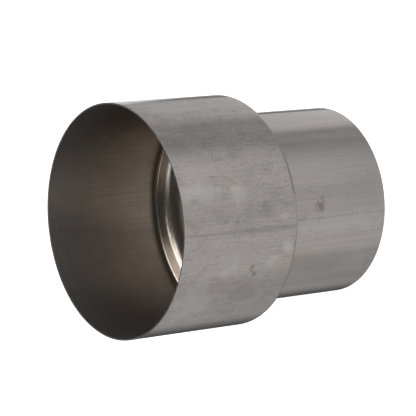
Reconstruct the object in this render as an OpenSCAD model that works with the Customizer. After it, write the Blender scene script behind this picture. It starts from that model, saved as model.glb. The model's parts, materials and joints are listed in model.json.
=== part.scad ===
// Reducer tube for an exhaust run, one piece of thin stainless steel.
// A welded tube of the large size has one half necked down to the small size, so its wall turns
// in round a corner bend, crosses a short flat shoulder and turns down a neck bend into the spigot.
// It stands on the cut edge of the spigot, with the open socket at the top.

/* [Socket] */
// Inside diameter of the large end, which slides over a pipe of this size
socket_bore_d = 120; // [101:0.5:180]
// Straight depth of the large end, from its mouth down to the corner bend
socket_l = 70; // [20:1:200]

/* [Spigot] */
// Outside diameter of the small end, which slides into a socket of this size
spigot_d = 100; // [40:0.5:119]
// Straight length of the small end, from its cut edge up to the neck bend
spigot_l = 60; // [20:1:200]

/* [Shoulder] */
// Outside radius of the bend where the large end turns in
corner_r = 2.5; // [1.5:0.1:6]
// Outside radius of the bend where the shoulder turns down into the small end
neck_r = 7.5; // [1:0.1:12]

/* [Sheet] */
// Thickness of the steel, the same all along the wall
wall = 0.8; // [0.5:0.1:1.4]
// Width of the break that deburring leaves along both sides of each cut edge
edge_break = 0.1; // [0.05:0.05:0.2]

/* [Hidden] */
$fn = 96;

socket_r = socket_bore_d / 2 + wall;
spigot_r = spigot_d / 2;
step = socket_r - spigot_r;
bends_r = corner_r + neck_r;

// Each bend turns a full quarter where the step has room for both, and meets the other sooner where not
turn = step < bends_r ? acos(1 - step / bends_r) : 90;
shoulder_l = bends_r * sin(turn);
flat_w = max(0, step - bends_r);

socket_z = spigot_l + shoulder_l;
mouth_z = socket_z + socket_l;

// A straight stretch of the wall in section, whose outer face stands at radius r
module straight(r, from_z, to_z) {
    translate([r - wall, from_z])
        square([wall, to_z - from_z]);
}

// A bent stretch of the wall in section, between two radii and turned through an angle
module bend(inside_r, from_angle, to_angle) {
    outside_r = inside_r + wall;
    reach = 2 * outside_r;
    intersection() {
        difference() {
            circle(r = outside_r);
            circle(r = inside_r);
        }
        polygon([
            [0, 0],
            reach * [cos(from_angle), sin(from_angle)],
            reach * [cos(to_angle), sin(to_angle)]
        ]);
    }
}

// The flat ring between the two bends, where the step is wide enough to have one
module flat() {
    if (flat_w > 0)
        translate([spigot_r + neck_r, spigot_l + neck_r])
            square([flat_w, wall]);
}

// What deburring takes off the corner of a cut edge, at a point of the section
module broken_corner(r, z) {
    translate([r, z])
        polygon([[-edge_break, 0], [0, -edge_break], [edge_break, 0], [0, edge_break]]);
}

module section() {
    difference() {
        union() {
            straight(spigot_r, 0, spigot_l);
            translate([spigot_r + neck_r, spigot_l])
                bend(neck_r, 180 - turn, 180);
            flat();
            translate([socket_r - corner_r, socket_z])
                bend(corner_r - wall, -turn, 0);
            straight(socket_r, socket_z, mouth_z);
        }
        for (r = [spigot_r - wall, spigot_r])
            broken_corner(r, 0);
        for (r = [socket_r - wall, socket_r])
            broken_corner(r, mouth_z);
    }
}

module reducer_tube() {
    color("#a5a19c")
        rotate_extrude()
            section();
}

reducer_tube();
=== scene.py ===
import json
from math import cos, exp, pi, radians, sin, tan

import bpy
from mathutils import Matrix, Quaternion, Vector, noise


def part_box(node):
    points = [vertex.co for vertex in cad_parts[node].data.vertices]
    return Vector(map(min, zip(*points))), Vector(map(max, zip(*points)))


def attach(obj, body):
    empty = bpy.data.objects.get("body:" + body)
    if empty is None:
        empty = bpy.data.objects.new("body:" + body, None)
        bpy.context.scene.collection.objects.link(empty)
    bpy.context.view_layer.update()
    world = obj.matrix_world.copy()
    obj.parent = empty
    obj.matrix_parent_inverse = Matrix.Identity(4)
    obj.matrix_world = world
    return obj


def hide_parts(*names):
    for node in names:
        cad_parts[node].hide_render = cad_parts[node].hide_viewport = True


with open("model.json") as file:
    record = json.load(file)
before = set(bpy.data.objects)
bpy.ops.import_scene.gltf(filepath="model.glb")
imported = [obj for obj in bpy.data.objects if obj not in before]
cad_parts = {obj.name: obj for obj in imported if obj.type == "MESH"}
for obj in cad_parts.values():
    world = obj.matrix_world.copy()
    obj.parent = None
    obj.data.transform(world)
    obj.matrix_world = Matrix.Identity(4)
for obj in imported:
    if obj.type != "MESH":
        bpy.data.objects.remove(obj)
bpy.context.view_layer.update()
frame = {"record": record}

# Camera.
# It looks down into the mouth from the seam's side. The tube lies across the picture with its
# mouth on the left, so the camera is rolled over by about a right angle.
MM = 0.001
view_azimuth = radians(10.63)
view_elevation = radians(36.87)
view_roll = radians(96.03)
view_distance = 1202.7 * MM
aim_at = Vector((2.0, 0.2, 79.2)) * MM

camera_data = bpy.data.cameras.new("camera")
camera_data.lens = 198.4
camera_data.sensor_width = 36.0
camera = bpy.data.objects.new("camera", camera_data)
bpy.context.scene.collection.objects.link(camera)
bpy.context.scene.camera = camera
towards_camera = Vector((
    sin(view_azimuth) * cos(view_elevation),
    -cos(view_azimuth) * cos(view_elevation),
    sin(view_elevation),
))
camera.location = aim_at + towards_camera * view_distance
camera.rotation_mode = "QUATERNION"
camera.rotation_quaternion = (
    (-towards_camera).to_track_quat("-Z", "Y") @ Quaternion((0, 0, 1), -view_roll)
)

# Floor.
# A plain matt white studio floor, so wide that its edge is never in sight. It is lit through from
# below like a light table, which is why the tube lies on pure white and throws no shadow.
floor_half = 12.0


def linear(hex_colour):
    """A colour written as sRGB hex, as the linear RGBA that shaders take."""
    values = [int(hex_colour[i:i + 2], 16) / 255 for i in (1, 3, 5)]
    return [v / 12.92 if v <= 0.04045 else ((v + 0.055) / 1.055) ** 2.4 for v in values] + [1.0]


floor_mesh = bpy.data.meshes.new("floor")
floor_mesh.from_pydata(
    [(x * floor_half, y * floor_half, 0) for x, y in ((-1, -1), (1, -1), (1, 1), (-1, 1))],
    [],
    [(0, 1, 2, 3)],
)
white_paint = bpy.data.materials.new("matt_white_paint")
white_paint.use_nodes = True
white_shader = white_paint.node_tree.nodes["Principled BSDF"]
white_shader.inputs["Base Color"].default_value = linear("#e8e8e6")
white_shader.inputs["Roughness"].default_value = 0.9
white_shader.inputs["Specular IOR Level"].default_value = 0.1
white_shader.inputs["Emission Color"].default_value = linear("#ffffff")
white_shader.inputs["Emission Strength"].default_value = 1.0
floor_mesh.materials.append(white_paint)

floor = bpy.data.objects.new("floor", floor_mesh)
bpy.context.scene.collection.objects.link(floor)
floor.visible_glossy = False
floor.visible_diffuse = False
floor.visible_shadow = False

# Studio light.
# A dim room, darker above than below, with large soft cards round the tube. The room and the cards
# are all that the steel has to mirror. The backdrop behind it all is plain white.
room_below = 0.31
room_above = 0.01
room_fades_from = radians(-11)
room_fades_to = radians(10.5)

# Each card is (azimuth, elevation, half width, half height, soft edge, brightness), in degrees as
# seen from the tube, with azimuth 0 on the seam's side and growing towards +X. A later card hides
# what is behind it, and the dark ones are black felt.
cards = [
    (37, -12, 32, 18, 45, 1.27),
    (343, -45, 41, 47, 22, 0.50),
    (252, -37, 10, 20, 20, 0.28),
    (96, -20, 4, 66, 17, 0.39),
    (146, -46, 35, 9, 17, 0.74),
    (175, -14, 22, 9, 16, 3.20),
    (168, -43, 5, 38, 5, 0.12),
    (209, -33, 19, 22, 40, 0.07),
    (92, 54, 25, 20, 32, 2.60),
    (277, 67, 59, 6, 9, 1.50),
    (58, 43, 21, 9, 28, 0.10),
    (41, 48, 51, 31, 15, 0.07),
    (19, 75, 82, 11, 12, 0.09),
    (70, 60, 17, 7, 12, 3.00),
    (109, 72, 13, 20, 10, 5.20),
    (291, -8, 57, 26, 28, 0.63),
    (13, 12.5, 92, 9, 14, 2.30),
]


def add_node(tree, kind, inputs=None, **settings):
    """Adds one node, sets it up, and fills its sockets with values or links."""
    node = tree.nodes.new(kind)
    for name, value in settings.items():
        setattr(node, name, value)
    for socket, value in (inputs or {}).items():
        if isinstance(value, bpy.types.NodeSocket):
            tree.links.new(value, node.inputs[socket])
        else:
            node.inputs[socket].default_value = value
    return node


studio = bpy.data.worlds.new("studio")
bpy.context.scene.world = studio
studio.use_nodes = True
sky = studio.node_tree
sky.nodes.clear()
direction = add_node(sky, "ShaderNodeTexCoord").outputs["Generated"]
height = add_node(sky, "ShaderNodeSeparateXYZ", {0: direction}).outputs["Z"]
elevation = add_node(sky, "ShaderNodeMath", {0: height}, operation="ARCSINE").outputs[0]
brightness = add_node(
    sky,
    "ShaderNodeMapRange",
    {
        "Value": elevation,
        "From Min": room_fades_from,
        "From Max": room_fades_to,
        "To Min": room_below,
        "To Max": room_above,
    },
    interpolation_type="SMOOTHSTEP",
).outputs[0]
for azimuth, tilt, half_width, half_height, soft, card_brightness in cards:
    turned = add_node(
        sky,
        "ShaderNodeVectorRotate",
        {"Vector": direction, "Angle": pi - radians(azimuth)},
        rotation_type="Z_AXIS",
    )
    flat = add_node(sky, "ShaderNodeSeparateXYZ", {0: turned.outputs[0]})
    around = add_node(
        sky, "ShaderNodeMath", {0: flat.outputs["X"], 1: flat.outputs["Y"]}, operation="ARCTAN2"
    )
    above = add_node(sky, "ShaderNodeMath", {0: elevation, 1: radians(tilt)}, operation="SUBTRACT")
    card = 1.0
    for offset, half in ((around, half_width), (above, half_height)):
        far = add_node(sky, "ShaderNodeMath", {0: offset.outputs[0]}, operation="ABSOLUTE")
        edge = add_node(
            sky,
            "ShaderNodeMapRange",
            {
                "Value": far.outputs[0],
                "From Min": radians(half - soft / 2),
                "From Max": radians(half + soft / 2),
                "To Min": 1.0,
                "To Max": 0.0,
            },
            interpolation_type="SMOOTHSTEP",
        )
        card = add_node(
            sky, "ShaderNodeMath", {0: edge.outputs[0], 1: card}, operation="MULTIPLY"
        ).outputs[0]
    brightness = add_node(
        sky, "ShaderNodeMix", {"Factor": card, "A": brightness, "B": card_brightness}
    ).outputs["Result"]
room = add_node(sky, "ShaderNodeBackground", {"Color": brightness})
backdrop = add_node(sky, "ShaderNodeBackground", {"Color": linear("#ffffff")})
seen_by = add_node(sky, "ShaderNodeLightPath")
world_light = add_node(
    sky,
    "ShaderNodeMixShader",
    {0: seen_by.outputs["Is Camera Ray"], 1: room.outputs[0], 2: backdrop.outputs[0]},
)
add_node(sky, "ShaderNodeOutputWorld", {"Surface": world_light.outputs[0]})
bpy.context.scene.view_settings.view_transform = "Standard"

# Side card.
# One lit white card stands close behind the tube, low enough that only the large tube mirrors it.
# It gives the pale strip along the large tube's upper edge, which ends at the shoulder.
side_card_corners = ((-40, 100, -3), (54, 100, -3), (97, 100, 64), (103, 100, 75), (-40, 100, 75))

side_card_mesh = bpy.data.meshes.new("side_card")
side_card_mesh.from_pydata(
    [(x * MM, y * MM, z * MM) for x, y, z in side_card_corners],
    [],
    [range(len(side_card_corners))],
)
lit_card = bpy.data.materials.new("lit_white_card")
lit_card.use_nodes = True
lit_shader = lit_card.node_tree.nodes["Principled BSDF"]
lit_shader.inputs["Base Color"].default_value = linear("#000000")
lit_shader.inputs["Specular IOR Level"].default_value = 0.0
lit_shader.inputs["Emission Color"].default_value = linear("#ffffff")
lit_shader.inputs["Emission Strength"].default_value = 0.8
side_card_mesh.materials.append(lit_card)

side_card = bpy.data.objects.new("side_card", side_card_mesh)
bpy.context.scene.collection.objects.link(side_card)
side_card.visible_camera = False
side_card.visible_shadow = False
side_card.visible_diffuse = False

# Reducer tube, form.
# One piece of stainless sheet, rolled and welded into a tube, with half its length necked down to
# the smaller size. Rolling and welding leave it a little off round, with a groove at the weld.
mounts = {mount["name"]: mount["dims"] for mount in frame["record"]["mounts"]}
socket_in_r = mounts["large_socket"]["r_mm"]
socket_l = mounts["large_socket"]["length_mm"]
spigot_out_r = mounts["small_spigot"]["r_mm"]
spigot_in_r = mounts["small_bore"]["r_mm"]
spigot_l = mounts["small_spigot"]["length_mm"]
mouth_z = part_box("reducer_tube")[1].z / MM
wall = spigot_out_r - spigot_in_r
socket_out_r = socket_in_r + wall

# The outside of the shoulder goes round the same two bends as the solid.
corner_r = 2.5
neck_r = mouth_z - socket_l - spigot_l - corner_r
shoulder_z = spigot_l + neck_r

# Necking piles metal up inside, so the corner there is tighter and thicker, and the ring between
# the bends slopes. The slope, in degrees, is what mirrors the room between the two bright lines.
inner_corner_r = 1.5
inner_neck_r = 8.6
thickened = 0.7
ring_slope = 15.0

edge_break = 0.1
bend_steps = 20
edge_steps = 3
row_gap = 4.0
end_gap = 0.15


def arc(centre_r, centre_z, radius, from_angle, to_angle, steps):
    """Points of a round stretch of the section, both ends included, angles in degrees."""
    return [
        (
            centre_r + radius * cos(radians(from_angle + (to_angle - from_angle) * i / steps)),
            centre_z + radius * sin(radians(from_angle + (to_angle - from_angle) * i / steps)),
        )
        for i in range(steps + 1)
    ]


def straight(r, from_z, to_z):
    """Points of a straight stretch, with a close one at each end that keeps its shading flat."""
    count = max(2, round(abs(to_z - from_z) / row_gap))
    gap = end_gap if to_z > from_z else -end_gap
    inner = [from_z + (to_z - from_z) * i / count for i in range(1, count)]
    return [(r, z) for z in (from_z + gap, *inner, to_z - gap)]


def wall_section():
    """The wall's closed outline as (radius, height) in mm, and how many points are outside."""
    e = edge_break
    outline = arc(spigot_out_r - e, e, e, -90, 0, edge_steps)
    outline += straight(spigot_out_r, e, spigot_l)
    outline += arc(spigot_out_r + neck_r, spigot_l, neck_r, 180, 90, bend_steps)
    outline += arc(socket_out_r - corner_r, shoulder_z + corner_r, corner_r, -90, 0, bend_steps)
    outline += straight(socket_out_r, shoulder_z + corner_r, mouth_z - e)
    outline += arc(socket_out_r - e, mouth_z - e, e, 0, 90, edge_steps)
    outside = len(outline)
    outline += arc(socket_in_r + e, mouth_z - e, e, 90, 180, edge_steps)
    corner_z = shoulder_z + wall + thickened + inner_corner_r
    corner = arc(
        socket_in_r - inner_corner_r, corner_z, inner_corner_r, 0, ring_slope - 90, bend_steps
    )
    neck = arc(spigot_in_r + inner_neck_r, 0, inner_neck_r, 90 + ring_slope, 180, bend_steps)
    ring_fall = (corner[-1][0] - neck[0][0]) * tan(radians(ring_slope))
    neck_z = corner[-1][1] - ring_fall - neck[0][1]
    outline += straight(socket_in_r, mouth_z - e, corner_z)
    outline += corner
    outline += [(r, z + neck_z) for r, z in neck]
    outline += straight(spigot_in_r, neck_z, e)
    outline += arc(spigot_in_r + e, e, e, 180, 270, edge_steps)
    return outline, outside


# The weld wanders in waves of (mm to the side, mm along), and is widest where the draw pulled at
# it. The sheet stands out a little on both sides of it, which a rolled tube does at its seam.
weld_waves = ((0.35, 19.0), (0.15, 7.3))
weld_half = 0.45
weld_pulled = 0.85
pulled_z = 88
pulled_l = 20
groove_depth = 0.05
seam_peak = 0.12
seam_peak_l = 6.0

# The wall is out of round by soft waves. They are noise taken round a circle of this radius, in
# cells of this length along the tube.
wave_depth = 0.10
wave_circle_r = 2.2
wave_cell_l = 60
wave_seed = 3.0


def weld_line(z):
    """The weld's place at one height: how far round from -Y it runs and its half width, in mm."""
    pulled = exp(-((z - pulled_z) / pulled_l) ** 2)
    middle = sum(aside * sin(z / along) for aside, along in weld_waves)
    return middle, weld_half + weld_pulled * pulled


def across_weld(angle, z):
    """Distance round from the middle of the weld, in mm."""
    middle = weld_line(z)[0]
    return (angle - 2 * pi if angle > pi else angle) * spigot_out_r - middle


def off_round(angle, z):
    """How far the wall is off its true radius at one place, in mm."""
    waves = noise.noise(
        (wave_circle_r * cos(angle), wave_circle_r * sin(angle), z / wave_cell_l + wave_seed)
    )
    across = across_weld(angle, z)
    groove = exp(-(across / weld_line(z)[1]) ** 2)
    peak = exp(-abs(across) / seam_peak_l)
    return wave_depth * waves + seam_peak * peak - groove_depth * groove


# The points stand a fifth of a degree apart near the weld, and one degree apart elsewhere.
near_weld = [0.2 * i for i in range(-10, 11)]
away_from_weld = range(3, 358)
angles = [radians(degrees) % (2 * pi) for degrees in (*near_weld, *away_from_weld)]
section, outside_rows = wall_section()
rows = len(section)
points = []
weld_values = []
for angle in angles:
    for r, z in section:
        r += off_round(angle, z)
        points.append((r * sin(angle) * MM, -r * cos(angle) * MM, z * MM))
        weld_values.append(exp(-(across_weld(angle, z) / weld_line(z)[1]) ** 2))
faces = []
for column in range(len(angles)):
    here, there = column * rows, (column + 1) % len(angles) * rows
    for row in range(rows):
        up = (row + 1) % rows
        faces.append((here + row, there + row, there + up, here + up))
tube_mesh = bpy.data.meshes.new("steel_tube")
tube_mesh.from_pydata(points, [], faces)
tube_mesh.shade_smooth()
tube_mesh.validate()
inside_values = [float(row >= outside_rows) for row in range(rows)] * len(angles)
for name, values in (("inside", inside_values), ("weld", weld_values)):
    tube_mesh.attributes.new(name, "FLOAT", "POINT").data.foreach_set("value", values)
steel_tube = bpy.data.objects.new("steel_tube", tube_mesh)
bpy.context.scene.collection.objects.link(steel_tube)

# Reducer tube, bare steel.
# Cold-rolled stainless sheet with its mill finish, bent, welded and drawn but never polished. It
# mirrors the room softly, and is streaked along the tube where rolls and die dragged over it.
stainless = bpy.data.materials.new("mill_finish_stainless")
stainless.use_nodes = True
tube_mesh.materials.append(stainless)
steel = stainless.node_tree
steel_shader = steel.nodes["Principled BSDF"]
inner_face = add_node(steel, "ShaderNodeAttribute", attribute_name="inside").outputs["Fac"]
place = add_node(steel, "ShaderNodeTexCoord").outputs["Object"]
place = add_node(
    steel, "ShaderNodeVectorMath", {0: place, "Scale": 1 / MM}, operation="SCALE"
).outputs[0]
axes = add_node(steel, "ShaderNodeSeparateXYZ", {0: place})
level = axes.outputs["Z"]
flat_place = add_node(
    steel, "ShaderNodeVectorMath", {0: place, 1: (1, 1, 0)}, operation="MULTIPLY"
).outputs[0]
radius = add_node(
    steel, "ShaderNodeVectorMath", {0: flat_place}, operation="LENGTH"
).outputs["Value"]
front = add_node(
    steel, "ShaderNodeMath", {0: axes.outputs["Y"], 1: -1.0}, operation="MULTIPLY"
).outputs[0]
turn = add_node(
    steel, "ShaderNodeMath", {0: axes.outputs["X"], 1: front}, operation="ARCTAN2"
).outputs[0]
from_weld = add_node(steel, "ShaderNodeMath", {0: turn, 1: radius}, operation="MULTIPLY").outputs[0]
# The sheet laid flat, in mm: x is the distance round from the weld, y the height.
sheet = add_node(steel, "ShaderNodeCombineXYZ", {0: from_weld, 1: level, 2: inner_face}).outputs[0]


def zone(*limits):
    """
    The part of the tube where all the limits hold, as a mask from 0 to 1. A limit is another mask,
    or a (value, start, end), which is 0 at its start, 1 at its end and eased in between.
    """
    masks = []
    for limit in limits:
        if isinstance(limit, tuple):
            value, start, end = limit
            limit = add_node(
                steel,
                "ShaderNodeMapRange",
                {"Value": value, "From Min": start, "From Max": end},
                interpolation_type="SMOOTHSTEP",
            ).outputs[0]
        masks.append(limit)
    mask = masks[0]
    for other in masks[1:]:
        mask = add_node(
            steel, "ShaderNodeMath", {0: mask, 1: other}, operation="MULTIPLY"
        ).outputs[0]
    return mask


def coloured_over(finish, patches):
    """A finish with colours laid over it, each of them (mask, how much it covers, colour). Most
    are stains, marks and grain; one is the painted shade in the inner corner.
    """
    for mask, share, colour in patches:
        amount = add_node(steel, "ShaderNodeMath", {0: mask, 1: share}, operation="MULTIPLY")
        finish = add_node(
            steel,
            "ShaderNodeMix",
            {"Factor": amount.outputs[0], "A": finish, "B": linear(colour)},
            data_type="RGBA",
        ).outputs["Result"]
    return finish


# Rolling streaks are a few hundredths of a millimetre wide, and the sheet's grain and scuffs are
# as fine. The streaks are drawn 0.9 mm wide and 45 mm long, the grain 1.4 mm wide, and the scuffs
# 1 mm wide and 7 mm long, which is the finest that a picture of this size shows. The bands and the
# clouds have their real size, a few millimetres.
streak_width = 0.9
streak_squeeze = 0.02
scuff_squeeze = 0.14
drawn_out, scuffed_along = [
    add_node(
        steel, "ShaderNodeVectorMath", {0: place, 1: (1, 1, squeeze)}, operation="MULTIPLY"
    ).outputs[0]
    for squeeze in (streak_squeeze, scuff_squeeze)
]

# Each pattern is (place, size in mm, detail, seed), in the order streaks, bands, clouds, grain and
# scuffs. The inside takes another part of it, so that no streak or cloud shows through the wall.
inside_shift = 5.0
patterns = []
for at, size, detail, seed in (
    (drawn_out, streak_width, 2.0, 0.0),
    (drawn_out, 4.5, 2.0, 1.0),
    (place, 9.0, 5.0, 2.0),
    (place, 1.4, 3.0, 3.0),
    (scuffed_along, 1.0, 3.0, 7.0),
):
    shifted = add_node(
        steel, "ShaderNodeMath", {0: inner_face, 1: inside_shift, 2: seed}, operation="MULTIPLY_ADD"
    )
    patterns.append(add_node(
        steel,
        "ShaderNodeTexNoise",
        {"Vector": at, "W": shifted.outputs[0], "Scale": 1 / size, "Detail": detail},
        noise_dimensions="4D",
    ).outputs["Fac"])
streaks, bands, clouds, grain, scuffs = patterns

# The die ironed the small tube, which keeps only this much of the sheet's grain and scuffs.
left_by_die = 0.35
large_tube = zone((level, 66.0, 72.0))
rough_sheet = add_node(
    steel, "ShaderNodeMapRange", {"Value": large_tube, "To Min": left_by_die, "To Max": 1.0}
).outputs[0]
tone = coloured_over(
    linear("#cbc5c1"),
    [
        (zone((streaks, 0.35, 0.68)), 0.50, "#bdb8b4"),
        (zone((bands, 0.42, 0.62)), 0.25, "#b2ada9"),
        (zone((clouds, 0.48, 0.66), large_tube), 0.45, "#aea9a5"),
        (zone((grain, 0.50, 0.66), rough_sheet), 0.27, "#e2deda"),
        (zone((scuffs, 0.54, 0.70), rough_sheet), 0.50, "#9f9a96"),
    ],
)

# Reducer tube, weld.
# The sheet's two edges are fused without filler and rolled flush. What is left of the weld is a
# thin dull line, wider and darker near the shoulder where the draw pulled at it.
weld = add_node(steel, "ShaderNodeAttribute", attribute_name="weld").outputs["Fac"]
shifted = add_node(
    steel, "ShaderNodeMath", {0: inner_face, 1: inside_shift, 2: 4.0}, operation="MULTIPLY_ADD"
)
weld_breaks = add_node(
    steel,
    "ShaderNodeTexNoise",
    {"Vector": drawn_out, "W": shifted.outputs[0], "Scale": 1 / streak_width, "Detail": 3.0},
    noise_dimensions="4D",
).outputs["Fac"]
tone = coloured_over(tone, [(zone(weld, (weld_breaks, 0.15, 0.55)), 0.42, "#8f8b86")])

# Reducer tube, handling marks.
# Rub marks from rolling about among other tubes, a greasy thumb smudge, small scratches, and faint
# brown and pink stains from the weld's heat and old oil.

# Single scratches from rubbing are finer than a picture of this size shows. They are drawn as
# strokes of 0.8 mm by 7 mm that run round the tube at a slant.
stroke_length = 7
stroke_width = 0.8
stroke_slant = radians(-14)
stroke_place = add_node(
    steel,
    "ShaderNodeMapping",
    {
        "Vector": sheet,
        "Rotation": (0, 0, stroke_slant),
        "Scale": (stroke_length, stroke_width, 1),
    },
    vector_type="TEXTURE",
).outputs[0]

# Again (place, size in mm, detail, seed): the ragged edge of a greasy smudge, the blotches of a
# film of oil, and the strokes, whose size is in their place already.
patterns = []
for at, size, detail, seed in (
    (place, 1.5, 4.0, 5.0),
    (place, 4.5, 6.0, 8.0),
    (stroke_place, 1.0, 1.0, 6.0),
):
    shifted = add_node(
        steel, "ShaderNodeMath", {0: inner_face, 1: inside_shift, 2: seed}, operation="MULTIPLY_ADD"
    )
    patterns.append(add_node(
        steel,
        "ShaderNodeTexNoise",
        {"Vector": at, "W": shifted.outputs[0], "Scale": 1 / size, "Detail": detail},
        noise_dimensions="4D",
    ).outputs["Fac"])
ragged, blotchy, strokes = patterns

# How much a pattern wears at the edge of a mark, and how far out the mark ends and is full, counted
# in half sizes with the wear added.
raggedness = 2.4
mark_ends = 2.5
mark_full = 1.6


def marks(spots, pattern):
    """
    One mask for a list of marks, with edges broken up by the pattern. Each mark is (mm round from
    the weld, height, half size round, half size along, turn in degrees, strength).
    """
    mask = 0.0
    for round_mm, height_mm, half_round, half_along, tilt, strength in spots:
        centred = add_node(
            steel,
            "ShaderNodeMapping",
            {
                "Vector": sheet,
                "Location": (round_mm, height_mm, 0),
                "Rotation": (0, 0, radians(tilt)),
                "Scale": (half_round, half_along, 1),
            },
            vector_type="TEXTURE",
        )
        out = add_node(
            steel, "ShaderNodeVectorMath", {0: centred.outputs[0]}, operation="LENGTH"
        )
        worn = add_node(
            steel,
            "ShaderNodeMath",
            {0: pattern, 1: raggedness, 2: out.outputs["Value"]},
            operation="MULTIPLY_ADD",
        ).outputs[0]
        spot = add_node(
            steel,
            "ShaderNodeMath",
            {0: zone((worn, mark_ends, mark_full)), 1: strength},
            operation="MULTIPLY",
        )
        mask = add_node(
            steel, "ShaderNodeMath", {0: spot.outputs[0], 1: mask}, operation="MAXIMUM"
        ).outputs[0]
    return mask


smudges = marks(
    [
        (6.3, 44.0, 3.3, 3.4, 0, 1.0),
        (10.5, 42.5, 1.6, 1.0, -30, 0.6),
        (13.9, 49.0, 0.6, 6.0, -23, 0.45),
        (2.0, 22.5, 1.5, 0.8, 0, 0.45),
        (-0.7, 45.3, 1.8, 0.6, 0, 0.6),
        (22.4, 9.2, 1.2, 0.8, 0, 0.5),
        (-3.5, 10.0, 1.6, 0.7, 0, 0.5),
        (10.5, 88.6, 5.0, 4.0, 0, 0.45),
        (12.0, 76.0, 1.2, 4.0, -20, 0.45),
        (47.0, 131.0, 6.0, 7.0, 0, 0.25),
    ],
    ragged,
)
brown_spots = marks(
    [
        (-20.2, 95.3, 2.3, 1.6, -30, 1.0),
        (-24.0, 92.9, 1.4, 1.2, 0, 1.0),
        (5.1, 113.9, 1.0, 2.0, 0, 0.6),
        (4.5, 107.0, 0.8, 1.6, 0, 0.6),
        (26.0, 108.0, 0.8, 5.0, -35, 0.4),
    ],
    ragged,
)
warm_films = marks(
    [
        (23.5, 110.1, 6.0, 6.0, 0, 0.6),
        (-19.8, 73.3, 7.0, 6.0, 0, 0.9),
        (-21.3, 52.0, 7.0, 7.0, 0, 0.7),
        (-30.0, 110.0, 9.0, 14.0, 0, 0.4),
    ],
    blotchy,
)
cool_films = marks(
    [
        (49.0, 132.0, 9.0, 9.0, 0, 1.0),
        (52.0, 112.0, 8.0, 12.0, 0, 0.5),
        (14.0, 14.0, 14.0, 14.0, 0, 0.7),
    ],
    blotchy,
)
wiped_clean = marks(
    [
        (-10.4, 74.0, 4.5, 4.0, 0, 1.0),
        (-17.0, 82.0, 3.0, 6.0, 20, 0.7),
        (5.1, 76.0, 1.5, 5.0, 0, 0.8),
        (19.0, 105.0, 5.0, 5.0, 0, 0.9),
        (-20.0, 108.0, 6.0, 8.0, 0, 0.5),
        (-3.0, 30.0, 6.0, 34.0, 0, 0.6),
        (-27.0, 13.0, 8.0, 12.0, 0, 0.6),
        (21.0, 129.0, 5.0, 14.0, 0, 0.7),
        (-40.0, 125.0, 14.0, 14.0, 0, 0.8),
        (79.0, 118.0, 11.0, 20.0, 0, 0.6),
        (30.0, 30.0, 14.0, 32.0, 0, 0.3),
    ],
    blotchy,
)
rubbed = marks([(56.0, 108.0, 17.0, 32.0, 0, 1.0)], clouds)
tone = coloured_over(
    tone,
    [
        (smudges, 0.70, "#8a8683"),
        (brown_spots, 0.60, "#998362"),
        (warm_films, 0.28, "#c6ad9a"),
        (cool_films, 0.30, "#abb0b4"),
        (wiped_clean, 0.55, "#e0ddd8"),
        (zone((strokes, 0.55, 0.72), rubbed), 0.45, "#8b8885"),
    ],
)

# Reducer tube, inside.
# Nobody wipes the inside: it keeps a thin brown film. Its colour is darker towards the corner at
# the shoulder, which is painted shade. The die pressed the ring below that corner bright, and left
# fine rings just above it.

# Each of these three zones has the height in mm where it starts and the one where it is full. The
# corner's darker colour is painted shade; the ring and the bore are finishes of the steel.
corner = zone((level, 75.0, 71.0))
ring = zone((level, 70.8, 70.2))
bore = zone((level, 67.0, 64.5))

# The fine rings are tenths of a millimetre apart, and are drawn 1.5 mm apart to show at all.
die_ring_gap = 1.5
die_rings = add_node(
    steel,
    "ShaderNodeTexNoise",
    {"W": level, "Scale": 1 / die_ring_gap, "Detail": 2.0},
    noise_dimensions="1D",
).outputs["Fac"]

# Across from the weld the film is browner, and palest where fingers reached in. The angle is in
# radians from the weld, either way round.
behind = add_node(steel, "ShaderNodeMath", {0: turn}, operation="ABSOLUTE").outputs[0]
browned = zone((level, 132.0, 92.0), (behind, 1.7, 2.7))
handled = zone((level, 125.0, 100.0), (behind, 2.82, 3.08))
dark_run = marks([(165.0, 116.0, 3.5, 28.0, 0, 1.0)], clouds)
inner_smudges = marks(
    [
        (-187.5, 134.0, 4.5, 2.0, 0, 0.9),
        (189.5, 134.0, 4.5, 2.0, 0, 0.9),
        (-184.0, 131.5, 2.5, 1.4, 20, 0.8),
        (-178.0, 133.0, 7.0, 2.2, 0, 0.8),
        (-169.0, 134.0, 8.0, 3.0, 12, 0.8),
        (-162.0, 131.0, 9.0, 2.8, 0, 0.7),
        (-153.0, 134.0, 6.0, 2.5, 0, 0.6),
    ],
    ragged,
)
film_and_corner_shade = coloured_over(
    linear("#9f9c9a"),
    [
        (browned, 0.90, "#bfae9f"),
        (zone((clouds, 0.40, 0.65)), 0.40, "#a1988f"),
        (handled, 0.35, "#d2c4b5"),
        (dark_run, 0.22, "#7d7875"),
        (inner_smudges, 0.45, "#6f6a67"),
        (zone((die_rings, 0.45, 0.65), (level, 96.0, 80.0)), 0.15, "#8f877e"),
        (zone((streaks, 0.45, 0.65)), 0.32, "#938e89"),
        # Painted shade: the film darkens towards the corner at the shoulder.
        (corner, 1.0, "#918a82"),
        (ring, 1.0, "#c4b9ae"),
        (bore, 1.0, "#b2a9a0"),
    ],
)
tone = add_node(
    steel,
    "ShaderNodeMix",
    {"Factor": inner_face, "A": tone, "B": film_and_corner_shade},
    data_type="RGBA",
).outputs["Result"]

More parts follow.
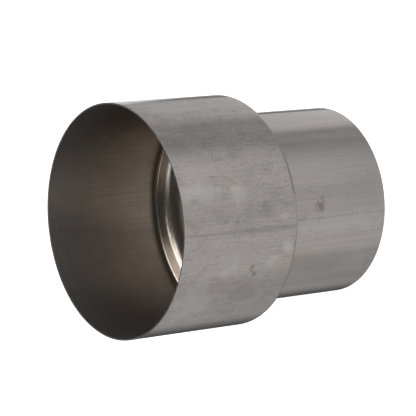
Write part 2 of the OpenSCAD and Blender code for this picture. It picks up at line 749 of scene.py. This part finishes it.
# Reducer tube, cut ends and sheen.
# The ends were cut with shears, which leaves the edge grey and rough. The film inside isn't metal
# and takes a little off the mirroring, and the die drew the small tube smoother than the sheet.
cut_from = 0.2
cut_to = 0.05
cut = add_node(
    steel,
    "ShaderNodeMath",
    {
        0: zone((level, mouth_z - cut_from, mouth_z - cut_to)),
        1: zone((level, cut_from, cut_to)),
    },
    operation="MAXIMUM",
).outputs[0]
tone = coloured_over(tone, [(cut, 1.0, "#a39f9a")])
steel.links.new(tone, steel_shader.inputs["Base Color"])

filmed_metal = 0.92
corner_shade_metal_drop = -0.10
burnished = add_node(steel, "ShaderNodeMath", {0: ring, 1: bore}, operation="SUBTRACT").outputs[0]
not_burnished = add_node(
    steel, "ShaderNodeMath", {0: 1.0, 1: burnished}, operation="SUBTRACT"
).outputs[0]
metal = add_node(
    steel,
    "ShaderNodeMapRange",
    {"Value": zone(not_burnished, inner_face), "To Min": 1.0, "To Max": filmed_metal},
).outputs[0]
# Painted shade: in the corner the steel is also a little less metal, which darkens it further.
metal = add_node(
    steel,
    "ShaderNodeMath",
    {0: zone(corner, inner_face), 1: corner_shade_metal_drop, 2: metal},
    operation="MULTIPLY_ADD",
).outputs[0]
steel.links.new(metal, steel_shader.inputs["Metallic"])

sheet_rough, drawn_rough = 0.15, 0.12
film_rough, burnished_rough = 0.30, 0.21
outer_rough = add_node(
    steel,
    "ShaderNodeMapRange",
    {"Value": zone((level, 71.5, 68.5)), "To Min": sheet_rough, "To Max": drawn_rough},
).outputs[0]
inner_rough = add_node(
    steel,
    "ShaderNodeMapRange",
    {"Value": burnished, "To Min": film_rough, "To Max": burnished_rough},
).outputs[0]
rough = add_node(
    steel, "ShaderNodeMix", {"Factor": inner_face, "A": outer_rough, "B": inner_rough}
).outputs["Result"]
for mask, more in ((streaks, 0.05), (smudges, 0.12), (cut, 0.35)):
    rough = add_node(
        steel, "ShaderNodeMath", {0: mask, 1: more, 2: rough}, operation="MULTIPLY_ADD"
    ).outputs[0]
steel.links.new(rough, steel_shader.inputs["Roughness"])

# The streaks are also the faintest of grooves.
streak_depth = 0.003 * MM
grooves = add_node(
    steel, "ShaderNodeBump", {"Strength": 1.0, "Distance": streak_depth, "Height": streaks}
).outputs[0]
steel.links.new(grooves, steel_shader.inputs["Normal"])

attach(steel_tube, "root")
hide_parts("reducer_tube")
